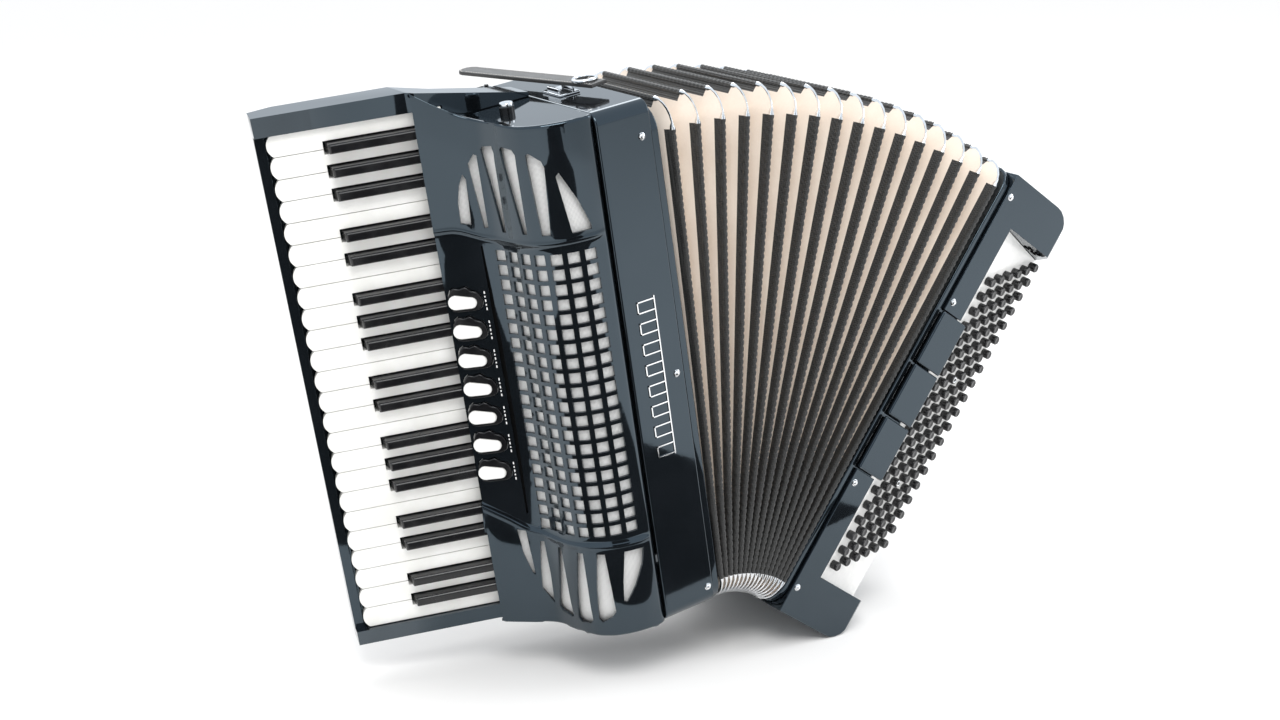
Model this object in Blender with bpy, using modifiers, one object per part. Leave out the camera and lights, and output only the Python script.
"""Piano accordion, 41 keys and 120 basses, stood with its bellows fanned open.

Frame: +X runs from the treble (keyboard) side to the bass side, -Y is the side
the audience sees, +Z is up. The origin is the middle of the flat back of the
treble case, the face that lies against the player.

Treble pieces are drawn in the treble frame: x to the right of the grille seam,
y back from the front face, z up from the top of the case. Bass pieces are drawn
in the bass frame: n away from the bellows, y back, u up along the case, with its
origin on the line that the bellows fan about.
"""
import math

import bmesh
import bpy
from mathutils import Matrix, Vector

MM = 0.001
GAP = 0.0003

# Posture
TREBLE_LEAN = math.radians(9.0)
FAN_ANGLE = math.radians(44.0)

# Treble case
CASE_H = 0.4965
CASE_D = 0.194
CASE_W = 0.055
CASE_FRONT = -0.002
CASE_WALL = 0.006
BACK = CASE_FRONT + CASE_D

# Keyboard plane: origin at the inner end of the top white key, x towards the
# grille, y up along the keyboard, z out of the key tops
KEY_ORIGIN = Vector((-0.1133, 0.11755, 0.0135))
KEY_YAW = math.radians(22.8)
KEY_PITCH = 0.0203
KEY_LEN = 0.128
KEY_THICK = 0.011
KEY_GAP = 0.0006
BLACK_LEN = 0.081
BLACK_W = 0.0108
BLACK_H = 0.010
KEY_TAIL = 0.025
AXLE_X = 0.020
AXLE_Z = -0.006
OCTAVE_FROM_F = "FGABCDE"
WHITE_KEYS = 24
BLACK_SHIFT = {"F": 0.0014, "G": 0.0, "A": -0.0014, "C": 0.0012, "D": -0.0012}

# Grille cover: outer profile in the treble frame's xy plane, keys to seam, mm
COVER_PROFILE = (
    (-119.0, 104.3), (-114.0, 100.6), (-94.0, 87.2), (-83.5, 80.0), (-76.0, 71.5),
    (-71.0, 56.0), (-67.0, 40.0), (-60.5, 24.5), (-49.3, 12.5), (-35.0, 4.8),
    (-19.0, 0.8), (-0.8, 0.0),
)
COVER_T = 0.0025
COVER_BACK_Y = 0.107
COVER_RISE = (0.020, 0.008)
WINDOW_ROWS = 20
WINDOW_COLS = 7
WINDOW_PITCH = 0.0140
WINDOW_BAR = 0.0042
WINDOW_TOP = -0.1165
FAN_TOP = -0.040
FAN_BOTTOM = -0.462

# Registers on the grille cover
REGISTERS = 7
REGISTER_TOP = -0.1600
REGISTER_PITCH = 0.0282

# Bellows
FOLDS = 16
BELLOWS_H = 0.4948
BELLOWS_D = 0.184
FOLD_DEPTH = 0.025
CORNER_R = 0.026
FAN_PIVOT = Vector((0.1065, 0.0, -0.4715))
FOLD_START = -0.0420
FOLD_END = 0.0501
RING_TOP = 0.4365 + 0.027
RING_SAG = 0.0085

# Bass case, in the bass frame
BASS_START = 0.0583
BASS_END = 0.172
BASS_LOW = -0.0320
BASS_HIGH = 0.4610
HORN_END = 0.150
NOTCH_N = 0.085
NOTCH_LOW = 0.0160
NOTCH_HIGH = 0.4130

# Bass buttons
BUTTON_COLS = 20
BUTTON_ROWS = 6
BUTTON_PITCH = 0.0171
BUTTON_ROW_STEP = 0.0135
BUTTON_ROW_RISE = 0.0090
BOARD_SLOPE = math.radians(71.0)
BUTTON_D = 0.0094
BUTTON_H = 0.0085
FIRST_BUTTON = Vector((0.1010, 0.0100, 0.3588))
BOARD_T = 0.003

COLORS = {
    "black_lacquer": ((0.012, 0.013, 0.015), 0.12, 0.0),
    "black_plastic": ((0.015, 0.015, 0.016), 0.30, 0.0),
    "white_key": ((0.86, 0.86, 0.84), 0.18, 0.0),
    "black_key": ((0.012, 0.012, 0.013), 0.28, 0.0),
    "register_white": ((0.80, 0.80, 0.78), 0.30, 0.0),
    "grille_silver": ((0.62, 0.63, 0.64), 0.40, 0.8),
    "bellows_card": ((0.62, 0.58, 0.52), 0.70, 0.0),
    "board_white": ((0.85, 0.85, 0.84), 0.30, 0.0),
    "leather": ((0.02, 0.02, 0.02), 0.60, 0.0),
}


def clear_scene():
    for obj in list(bpy.data.objects):
        bpy.data.objects.remove(obj, do_unlink=True)
    for mesh in list(bpy.data.meshes):
        bpy.data.meshes.remove(mesh)


def material(name):
    mat = bpy.data.materials.get(name)
    if mat:
        return mat
    color, rough, metal = COLORS[name]
    mat = bpy.data.materials.new(name)
    mat.use_nodes = True
    bsdf = mat.node_tree.nodes["Principled BSDF"]
    bsdf.inputs["Base Color"].default_value = (*color, 1.0)
    bsdf.inputs["Roughness"].default_value = rough
    bsdf.inputs["Metallic"].default_value = metal
    mat.diffuse_color = (*color, 1.0)
    return mat


def collection(name):
    coll = bpy.data.collections.new(name)
    bpy.context.scene.collection.children.link(coll)
    return coll


def empty(name, parent=None, location=(0, 0, 0), rotation=(0, 0, 0)):
    obj = bpy.data.objects.new(name, None)
    PARTS.objects.link(obj)
    obj.parent = parent
    obj.location = location
    obj.rotation_euler = rotation
    obj.empty_display_size = 0.05
    return obj


def add_object(name, mesh, mat, parent, location=(0, 0, 0), rotation=(0, 0, 0)):
    obj = bpy.data.objects.new(name, mesh)
    obj.parent = parent
    obj.location = location
    obj.rotation_euler = rotation
    if mat is None:
        CUTTERS.objects.link(obj)
        obj.hide_render = True
        obj.display_type = "WIRE"
    else:
        PARTS.objects.link(obj)
        mesh.materials.append(material(mat))
    return obj


def mesh_from(bm, name):
    bmesh.ops.recalc_face_normals(bm, faces=bm.faces)
    mesh = bpy.data.meshes.new(name)
    bm.to_mesh(mesh)
    bm.free()
    return mesh


def slab(name, points, low, high, mat, parent, location=(0, 0, 0), rotation=(0, 0, 0)):
    """A flat outline in local XY, from low to high along local Z."""
    curve = bpy.data.curves.new(name + "_outline", "CURVE")
    curve.dimensions = "2D"
    curve.fill_mode = "BOTH"
    curve.extrude = (high - low) / 2
    spline = curve.splines.new("POLY")
    spline.points.add(len(points) - 1)
    for point, (x, y) in zip(spline.points, points):
        point.co = (x, y, 0.0, 1.0)
    spline.use_cyclic_u = True
    temp = bpy.data.objects.new(name + "_outline", curve)
    bpy.context.scene.collection.objects.link(temp)
    graph = bpy.context.evaluated_depsgraph_get()
    mesh = bpy.data.meshes.new_from_object(temp.evaluated_get(graph))
    bpy.data.objects.remove(temp, do_unlink=True)
    bpy.data.curves.remove(curve)
    bm = bmesh.new()
    bm.from_mesh(mesh)
    bmesh.ops.remove_doubles(bm, verts=bm.verts, dist=0.00001)
    bmesh.ops.dissolve_limit(bm, angle_limit=0.001, verts=bm.verts, edges=bm.edges)
    bmesh.ops.translate(bm, verts=bm.verts, vec=(0, 0, (low + high) / 2))
    bpy.data.meshes.remove(mesh)
    return add_object(name, mesh_from(bm, name), mat, parent, location, rotation)


def box_mesh(name, low, high, bevel=0.0, segments=1):
    """A box between two corners, with its edges bevelled when bevel is given."""
    bm = bmesh.new()
    bmesh.ops.create_cube(bm, size=1.0)
    low, high = Vector(low), Vector(high)
    bmesh.ops.scale(bm, verts=bm.verts, vec=high - low)
    bmesh.ops.translate(bm, verts=bm.verts, vec=(low + high) / 2)
    if bevel:
        bmesh.ops.bevel(bm, geom=bm.edges, offset=bevel, affect="EDGES",
                        segments=segments, profile=0.5, material=-1)
    return mesh_from(bm, name)


def boolean(obj, cutter, operation="DIFFERENCE"):
    mod = obj.modifiers.new(operation.title(), "BOOLEAN")
    mod.operation = operation
    mod.object = cutter


def arc(center, radius, start, end, steps):
    """Points on an arc in a plane, angles in degrees."""
    points = []
    for k in range(steps + 1):
        a = math.radians(start + (end - start) * k / steps)
        points.append((center[0] + radius * math.cos(a), center[1] + radius * math.sin(a)))
    return points


def key_plane(x, z):
    """A point of the keyboard's cross section, in the treble frame's xy."""
    c, s = math.cos(KEY_YAW), math.sin(KEY_YAW)
    return (KEY_ORIGIN.x + c * x - s * z, KEY_ORIGIN.y - s * x - c * z)


# ---------------------------------------------------------------- treble side

def make_treble_case(treble):
    """A hollow box, open towards the bellows, its long edges rounded."""
    bm = bmesh.new()
    bmesh.ops.create_cube(bm, size=1.0)
    bmesh.ops.scale(bm, verts=bm.verts, vec=(CASE_W - GAP, CASE_D, CASE_H))
    middle = ((CASE_W + GAP) / 2, CASE_FRONT + CASE_D / 2, -CASE_H / 2)
    bmesh.ops.translate(bm, verts=bm.verts, vec=middle)
    long_edges = [e for e in bm.edges if abs((e.verts[0].co - e.verts[1].co).x) > 0.01]
    bmesh.ops.bevel(bm, geom=long_edges, offset=0.012, affect="EDGES",
                    segments=3, profile=0.5, material=-1)
    mouth = [f for f in bm.faces if f.calc_center_median().x > CASE_W - 0.001]
    bmesh.ops.delete(bm, geom=mouth, context="FACES_ONLY")
    obj = add_object("treble_case", mesh_from(bm, "treble_case"), "black_lacquer", treble)
    wall = obj.modifiers.new("Wall", "SOLIDIFY")
    wall.thickness = CASE_WALL
    wall.offset = -1.0
    wall.use_even_offset = True


def cover_columns():
    """Profile points of the cover: the given ones, then two edges per window."""
    lead = COVER_PROFILE[:4]
    bend = [Vector((x, y)) for x, y in COVER_PROFILE[3:]]
    lengths = [0.0]
    for a, b in zip(bend, bend[1:]):
        lengths.append(lengths[-1] + (b - a).length)
    start, span = 4.0, lengths[-1] - 12.0
    pitch = span / WINDOW_COLS
    marks = []
    for k in range(WINDOW_COLS):
        marks.append(start + pitch * k + WINDOW_BAR / MM)
        marks.append(start + pitch * (k + 1))
    marks.append(lengths[-1])
    points = list(lead)
    for mark in marks:
        k = max(i for i in range(len(lengths) - 1) if lengths[i] <= mark)
        part = (mark - lengths[k]) / (lengths[k + 1] - lengths[k])
        spot = bend[k].lerp(bend[k + 1], min(part, 1.0))
        points.append((spot.x, spot.y))
    return [(x * MM, y * MM) for x, y in points]


def cover_rows():
    """Heights of the cover's row edges, top to bottom, as fractions of its height."""
    rows = [0.0, FAN_TOP, WINDOW_TOP + 0.014]
    for k in range(WINDOW_ROWS):
        rows.append(WINDOW_TOP - WINDOW_PITCH * k)
        rows.append(WINDOW_TOP - WINDOW_PITCH * (k + 1) + WINDOW_BAR)
    rows.append(rows[-1] - 0.014)
    rows.append(FAN_BOTTOM)
    rows.append(-CASE_H)
    return [z / -CASE_H for z in rows]


def cover_span(x):
    """Top and bottom of the cover above one point of its profile."""
    part = max(0.0, (-x - 0.0605) / 0.057)
    return COVER_RISE[0] * part, -CASE_H + COVER_RISE[1] * part


def bent_sheet(bm, columns, rows):
    """A grid bent along the profile; returns its vertices by row and column."""
    grid = bmesh.ops.create_grid(bm, x_segments=len(columns) - 1, y_segments=len(rows) - 1,
                                 size=0.5)
    ordered = sorted(grid["verts"], key=lambda v: (round(-v.co.y, 5), v.co.x))
    table = []
    for r, part in enumerate(rows):
        line = ordered[r * len(columns):(r + 1) * len(columns)]
        for vert, (x, y) in zip(line, columns):
            top, bottom = cover_span(x)
            vert.co = (x, y, top + (bottom - top) * part)
        table.append(line)
    return table


def make_grille_cover(treble):
    """The curved front with its windows, fan slots, register slot and two ends."""
    columns, rows = cover_columns(), cover_rows()
    bm = bmesh.new()
    table = bent_sheet(bm, columns, rows)
    index = {v: (r, c) for r, line in enumerate(table) for c, v in enumerate(line)}
    first_window, last_window = 3, 3 + 2 * WINDOW_ROWS
    holes = []
    for face in bm.faces:
        r = min(index[v][0] for v in face.verts)
        c = min(index[v][1] for v in face.verts)
        in_column = c >= 4 and (c - 4) % 2 == 0 and c < 4 + 2 * WINDOW_COLS
        in_window = first_window <= r < last_window and (r - first_window) % 2 == 0
        in_fan = r in (1, last_window) and c < 4 + 2 * (WINDOW_COLS - 1)
        in_register = c == 1 and first_window + 5 <= r < last_window - 4
        if in_register or (in_column and (in_window or in_fan)):
            holes.append(face)
    for line, low in ((table[0], 0), (table[-1], 1)):
        fold = min(range(len(columns)), key=lambda k: abs(columns[k][0] + 0.0605))
        z_fold, z_lip = cover_span(columns[fold][0])[low], cover_span(columns[0][0])[low]
        back_fold = bm.verts.new((columns[fold][0], COVER_BACK_Y, z_fold))
        back_seam = bm.verts.new((columns[-1][0], COVER_BACK_Y, line[-1].co.z))
        bm.faces.new(line[fold:] + [back_seam, back_fold])
        bm.faces.new(line[:fold + 1] + [back_fold])
    bmesh.ops.delete(bm, geom=holes, context="FACES")
    obj = add_object("grille_cover", mesh_from(bm, "grille_cover"), "black_lacquer", treble)
    wall = obj.modifiers.new("Wall", "SOLIDIFY")
    wall.thickness = COVER_T
    wall.offset = -1.0


def make_grille_mesh(treble):
    """The woven backing behind the windows, following the cover inside."""
    columns = cover_columns()[4:]
    shifted = []
    for k, (x, y) in enumerate(columns):
        a = Vector(columns[max(k - 1, 0)])
        b = Vector(columns[min(k + 1, len(columns) - 1)])
        inward = Vector((-(b - a).y, (b - a).x)).normalized()
        shifted.append((x + inward.x * 0.0042, y + inward.y * 0.0042))
    shifted = [p for p in shifted if p[0] < -0.004]
    bm = bmesh.new()
    grid = bmesh.ops.create_grid(bm, x_segments=len(shifted) - 1, y_segments=1, size=0.5)
    ordered = sorted(grid["verts"], key=lambda v: (round(-v.co.y, 5), v.co.x))
    for k, vert in enumerate(ordered):
        x, y = shifted[k % len(shifted)]
        vert.co = (x, y, -0.030 if k < len(shifted) else -0.468)
    obj = add_object("grille_mesh", mesh_from(bm, "grille_mesh"), "grille_silver", treble)
    sheet = obj.modifiers.new("Sheet", "SOLIDIFY")
    sheet.thickness = 0.001
    sheet.offset = 0.0


def make_keyboard_bed(treble):
    """Back plate, raised end cheeks, a pocket for the keys and a low outer rim."""
    top = KEY_ORIGIN.z + 0.0185
    bottom = KEY_ORIGIN.z - WHITE_KEYS * KEY_PITCH - 0.0145
    section = [key_plane(-0.1385, 0.005), key_plane(-0.004, 0.005), (-0.112, 0.1105),
               (-0.0008, 0.1105), (-0.0008, BACK), (-0.236, BACK)]
    bed = slab("keyboard_bed", section, bottom, top, "black_lacquer", treble)
    foot = KEY_ORIGIN.z - WHITE_KEYS * KEY_PITCH - GAP
    inside = [(-0.30, 0.10), key_plane(-0.150, -0.004), key_plane(-0.1310, -0.004),
              key_plane(-0.1310, -0.0175), key_plane(0.0265, -0.0175), key_plane(0.0265, 0.030)]
    boolean(bed, slab("keyboard_pocket", inside, foot, KEY_ORIGIN.z + GAP, None, treble))
    levers = [key_plane(0.0255, -0.0170), (-0.075, 0.175), (0.010, 0.175), (0.010, 0.05),
              (-0.085, 0.05)]
    boolean(bed, slab("lever_space", levers, foot + 0.012, -0.012, None, treble))
    behind = [key_plane(-0.20, -0.030), key_plane(0.018, -0.030), (0.010, 0.145),
              (0.010, 0.25), (-0.34, 0.25)]
    boolean(bed, slab("keyboard_back_step", behind, 0.0, 0.060, None, treble))
    above = [(-0.118, 0.0320), (0.010, 0.0020), (0.010, 0.060), (-0.118, 0.060)]
    boolean(bed, slab("keyboard_shoulder", above, -0.30, 0.0, None, treble,
                      (0, 0, 0), (math.pi / 2, 0, 0)))


def key_names():
    """Note letters from the top of the keyboard down."""
    return [OCTAVE_FROM_F[k % 7] for k in range(WHITE_KEYS)]


def black_centers():
    """Distance below the top of the keyboard of each black key's middle."""
    centers = {}
    for k, note in enumerate(key_names()[:-1]):
        if note in BLACK_SHIFT:
            centers[k] = (k + 1) * KEY_PITCH - BLACK_SHIFT[note]
    return centers


def make_white_key(k, keyboard, centers):
    """One white key, notched where the black keys pass, pivoting on its axle."""
    middle = -(k + 0.5) * KEY_PITCH
    high = KEY_PITCH / 2 - KEY_GAP / 2
    tail_high, tail_low = high, -high
    reach = BLACK_W / 2 + KEY_GAP
    if k - 1 in centers:
        tail_high = -centers[k - 1] - reach - middle
    if k in centers:
        tail_low = -centers[k] + reach - middle
    notch = -BLACK_LEN - KEY_GAP
    nose = [(-KEY_LEN - 0.0022 * math.cos(a), high * math.sin(a) * 0.62)
            for a in (math.radians(d) for d in (60, 20, -20, -60))]
    points = [(KEY_TAIL, tail_high)]
    if tail_high < high:
        points += [(notch, tail_high), (notch, high)]
    points += [(-KEY_LEN + 0.0022, high)] + nose + [(-KEY_LEN + 0.0022, -high)]
    if tail_low > -high:
        points += [(notch, -high), (notch, tail_low)]
    points += [(KEY_TAIL, tail_low)]
    points = [(x - AXLE_X, y) for x, y in points]
    slab("white_key_%02d" % (k + 1), points, -KEY_THICK - AXLE_Z, -AXLE_Z, "white_key",
         keyboard, (AXLE_X, middle, AXLE_Z))


def make_black_key(number, center, keyboard):
    """One black key: a long block whose top is narrower than its foot."""
    bm = bmesh.new()
    bmesh.ops.create_cube(bm, size=1.0)
    low = Vector((-BLACK_LEN, -BLACK_W / 2, -0.009))
    high = Vector((KEY_TAIL, BLACK_W / 2, BLACK_H))
    bmesh.ops.scale(bm, verts=bm.verts, vec=high - low)
    bmesh.ops.translate(bm, verts=bm.verts, vec=(low + high) / 2)
    for vert in bm.verts:
        if vert.co.z > 0:
            vert.co.y *= 0.82
            if vert.co.x < 0:
                vert.co.x += 0.004
    crown = [e for e in bm.edges if min(v.co.z for v in e.verts) > 0
             and min(v.co.x for v in e.verts) < 0]
    bmesh.ops.bevel(bm, geom=crown, offset=0.0014, affect="EDGES",
                    segments=1, profile=0.5, material=-1)
    bmesh.ops.translate(bm, verts=bm.verts, vec=(-AXLE_X, 0, -AXLE_Z))
    name = "black_key_%02d" % number
    add_object(name, mesh_from(bm, name), "black_key", keyboard, (AXLE_X, -center, AXLE_Z))


def make_registers(treble):
    """Seven rocking tabs that stand through the slot beside the keys."""
    a = Vector(COVER_PROFILE[1]) * MM
    b = Vector(COVER_PROFILE[2]) * MM
    middle = (a + b) / 2
    along = (b - a).normalized()
    turn = math.atan2(along.y, along.x)
    for k in range(REGISTERS):
        name = "treble_register_%d" % (k + 1)
        z = REGISTER_TOP - REGISTER_PITCH * k
        half_x = (b - a).length / 2 - 0.0012
        half_z = REGISTER_PITCH / 2 - 0.0006
        mesh = box_mesh(name, (-half_x, -0.0055, -half_z), (half_x, 0.0045, half_z), 0.0012)
        add_object(name, mesh, "register_white", treble, (middle.x, middle.y, z), (0, 0, turn))


def make_bellows_strap(treble):
    """Leather closing strap, laid back over the top of the case on its stud."""
    length, half = 0.172, 0.010
    points = [(-0.012, -half), (length - half, -half)]
    points += arc((length - half, 0.0), half, -60, 60, 4)
    points += [(length - half, half), (-0.012, half)]
    slab("bellows_strap", points, 0.0, 0.0035, "leather", treble,
         (0.0385, 0.066, 0.0075), (0, 0, math.radians(104)))


# -------------------------------------------------------------------- bellows

def ring(bm, offset, angle, top, inset, corner):
    """One closed loop of the bellows in its own fanned plane."""
    across = Vector((math.cos(angle), 0, -math.sin(angle)))
    along = Vector((math.sin(angle), 0, math.cos(angle)))
    low, high = top - BELLOWS_H + inset, top - inset
    front, back = inset, BELLOWS_D - inset
    steps = 3
    corners = (((back - corner, high - corner), 0), ((front + corner, high - corner), 90),
               ((front + corner, low + corner), 180), ((back - corner, low + corner), 270))
    loop = []
    for center, start in corners:
        for y, u in arc(center, corner, start, start + 90, steps):
            loop.append(bm.verts.new(FAN_PIVOT + across * offset + along * u + Vector((0, y, 0))))
    return loop


def skin(bm, loops):
    for a, b in zip(loops, loops[1:]):
        for k in range(len(a)):
            n = (k + 1) % len(a)
            bm.faces.new((a[k], a[n], b[n], b[k]))


def make_bellows(treble):
    """Sixteen folds between two end frames: folded outside, smooth inside."""
    bm = bmesh.new()
    outer, inner = [], []

    def fan(part):
        angle = min(FAN_ANGLE, math.radians(0.1 + 44.4 * part))
        offset = FOLD_START + (FOLD_END - FOLD_START) * part
        top = RING_TOP - RING_SAG * math.sin(math.pi * part)
        return offset, angle, top

    start = CASE_W + GAP - FAN_PIVOT.x
    outer.append(ring(bm, start, 0.0, RING_TOP, 0.003, 0.020))
    inner.append(ring(bm, start, 0.0, RING_TOP, FOLD_DEPTH + 0.003, 0.008))
    outer.append(ring(bm, FOLD_START - 0.0012, 0.0, RING_TOP, 0.003, 0.020))
    for k in range(2 * FOLDS + 1):
        offset, angle, top = fan(k / (2 * FOLDS))
        if k % 2:
            outer.append(ring(bm, offset, angle, top, 0.0, CORNER_R))
        else:
            outer.append(ring(bm, offset, angle, top, FOLD_DEPTH, 0.010))
        if k % 8 == 4:
            inner.append(ring(bm, offset, angle, top, FOLD_DEPTH + 0.003, 0.008))
    end = BASS_START - GAP
    outer.append(ring(bm, FOLD_END + 0.0012, FAN_ANGLE, RING_TOP, 0.003, 0.020))
    outer.append(ring(bm, end, FAN_ANGLE, RING_TOP, 0.003, 0.020))
    inner.append(ring(bm, end, FAN_ANGLE, RING_TOP, FOLD_DEPTH + 0.003, 0.008))
    skin(bm, outer)
    skin(bm, inner)
    skin(bm, (inner[0], outer[0]))
    skin(bm, (inner[-1], outer[-1]))
    add_object("bellows", mesh_from(bm, "bellows"), "bellows_card", treble)


# ------------------------------------------------------------------ bass side

def make_bass_case(bass, front):
    """A hollow case open towards the bellows, its front cut away round the buttons."""
    middle_y = -0.002
    section = [(BASS_START, middle_y), (HORN_END - 0.002, middle_y), (HORN_END + 0.003, 0.002),
               (BASS_END, 0.036), (BASS_END, BACK), (BASS_START, BACK)]
    case = slab("bass_case", section, BASS_LOW, BASS_HIGH, "black_lacquer", bass)
    r = 0.022
    outline = [(BASS_START - 0.01, BASS_LOW)]
    outline += arc((HORN_END - r, BASS_LOW + r), r, -90, 0, 5)
    outline += [(BASS_END + 0.01, BASS_LOW + r + 0.02), (BASS_END + 0.01, BASS_HIGH - r - 0.02)]
    outline += arc((HORN_END - r, BASS_HIGH - r), r, 0, 90, 5)
    outline += [(BASS_START - 0.01, BASS_HIGH)]
    boolean(case, slab("bass_ends", outline, -BACK - 0.01, 0.01, None, front), "INTERSECT")
    slope = math.tan(math.pi / 2 - BOARD_SLOPE)
    board_y = FIRST_BUTTON.y + BOARD_T

    def board(n):
        return board_y + (n - FIRST_BUTTON.x) * slope

    notch = [(NOTCH_N, -0.02), (NOTCH_N, board(NOTCH_N)), (0.20, board(0.20)), (0.20, -0.02)]
    low, high = NOTCH_LOW, NOTCH_HIGH
    boolean(case, slab("bass_notch", notch, low, high, None, bass))
    inside = [(BASS_START - 0.02, 0.009), (NOTCH_N - 0.008, 0.009),
              (NOTCH_N - 0.008, board(NOTCH_N) + 0.008), (BASS_END - 0.008, board(BASS_END) + 0.008),
              (BASS_END - 0.008, BACK - 0.006), (BASS_START - 0.02, BACK - 0.006)]
    boolean(case, slab("bass_hollow", inside, BASS_LOW + 0.055, BASS_HIGH - 0.055, None, bass))
    mouth = [(BASS_START - 0.02, 0.009), (NOTCH_N + 0.025, 0.009), (NOTCH_N + 0.025, BACK - 0.006),
             (BASS_START - 0.02, BACK - 0.006)]
    boolean(case, slab("bass_top_hollow", mouth, NOTCH_HIGH + 0.006, BASS_HIGH - 0.008, None, bass))
    boolean(case, slab("bass_low_hollow", mouth, BASS_LOW + 0.008, NOTCH_LOW - 0.006, None, bass))
    seat = [(0.0562, -0.02), (0.0562, 0.0042), (0.10, 0.0042), (0.10, -0.02)]
    boolean(case, slab("bass_register_seat", seat, 0.1270, 0.3070, None, bass))


def make_bass_buttons(bass):
    """Sloping board with 120 round buttons in six rows of twenty."""
    turn = math.pi / 2 - BOARD_SLOPE
    board_frame = empty("button_board_frame", bass, (FIRST_BUTTON.x, FIRST_BUTTON.y, 0.0),
                        (0, 0, turn))
    low_x = -(FIRST_BUTTON.x - NOTCH_N) / math.cos(turn) + 0.0012
    high_x = (BUTTON_ROWS - 1) * BUTTON_ROW_STEP + 0.0062
    board = add_object(
        "bass_buttons",
        box_mesh("bass_buttons", (low_x, 0.0, NOTCH_LOW + GAP),
                 (high_x, BOARD_T - GAP, NOTCH_HIGH - GAP)),
        "board_white", board_frame)
    bm = bmesh.new()
    for row in range(BUTTON_ROWS):
        for col in range(BUTTON_COLS):
            x = row * BUTTON_ROW_STEP
            z = FIRST_BUTTON.z + row * BUTTON_ROW_RISE - col * BUTTON_PITCH
            place = Matrix.Translation((x, 0.0, z)) @ Matrix.Rotation(math.pi / 2, 4, "X")
            place = place @ Matrix.Translation((0, 0, BUTTON_H / 2 - 0.0005))
            bmesh.ops.create_cone(bm, cap_ends=True, segments=8, radius1=BUTTON_D / 2,
                                  radius2=BUTTON_D / 2, depth=BUTTON_H + 0.001, matrix=place)
    posts = add_object("button_posts", mesh_from(bm, "button_posts"), None, board_frame)
    boolean(board, posts, "UNION")


def make_bass_registers(bass):
    """Three paddles over the inner edge of the notch, hinged beside the bellows."""
    spans = ((0.2475, 0.3058), (0.1888, 0.2465), (0.1283, 0.1868))
    for k, (low, high) in enumerate(spans):
        name = "bass_register_%d" % (k + 1)
        mesh = box_mesh(name, (-0.0024, -0.0035, low + 0.0005), (0.0330, 0.0015, high - 0.0005),
                        0.0012)
        add_object(name, mesh, "black_plastic", bass, (0.0592, -0.002, 0.0))


def make_bass_strap(bass, front):
    """Hand strap over the end of the bass case, bowed to let the hand in."""
    start = BASS_END + GAP
    low, high = 0.030, 0.400
    rise, thick = 0.030, 0.005
    outer, inner = [], []
    for k in range(17):
        part = k / 16
        u = low + (high - low) * part
        swell = math.sin(math.pi * part) ** 0.8
        outer.append((start + thick + rise * swell, u))
        inner.append((start + rise * max(0.0, math.sin(math.pi * (part - 0.06) / 0.88)) ** 0.8
                      if 0.06 < part < 0.94 else start, u))
    slab("bass_strap", outer + inner[::-1], -0.160, -0.100, "leather", front)


def build():
    treble = empty("treble_frame", None, (0, 0, 0), (0, -TREBLE_LEAN, 0))
    turn = Matrix.Rotation(-TREBLE_LEAN, 4, "Y")
    treble.location = -(turn @ Vector((CASE_W / 2, BACK, -CASE_H / 2)))
    bass = empty("bass_frame", None, (0, 0, 0), (0, FAN_ANGLE - TREBLE_LEAN, 0))
    bass.location = treble.location + turn @ FAN_PIVOT
    front = empty("bass_front_frame", bass, (0, 0, 0), (math.pi / 2, 0, 0))
    keyboard = empty("keyboard_frame", treble, KEY_ORIGIN, (math.pi / 2, 0, -KEY_YAW))
    bpy.context.view_layer.update()

    make_treble_case(treble)
    make_grille_cover(treble)
    make_grille_mesh(treble)
    make_keyboard_bed(treble)
    centers = black_centers()
    for k in range(WHITE_KEYS):
        make_white_key(k, keyboard, centers)
    for number, k in enumerate(sorted(centers), 1):
        make_black_key(number, centers[k], keyboard)
    make_registers(treble)
    make_bellows_strap(treble)
    make_bellows(treble)
    make_bass_case(bass, front)
    make_bass_buttons(bass)
    make_bass_registers(bass)
    make_bass_strap(bass, front)


clear_scene()
PARTS = collection("piano_accordion")
CUTTERS = collection("cutters")
build()
bpy.context.view_layer.update()
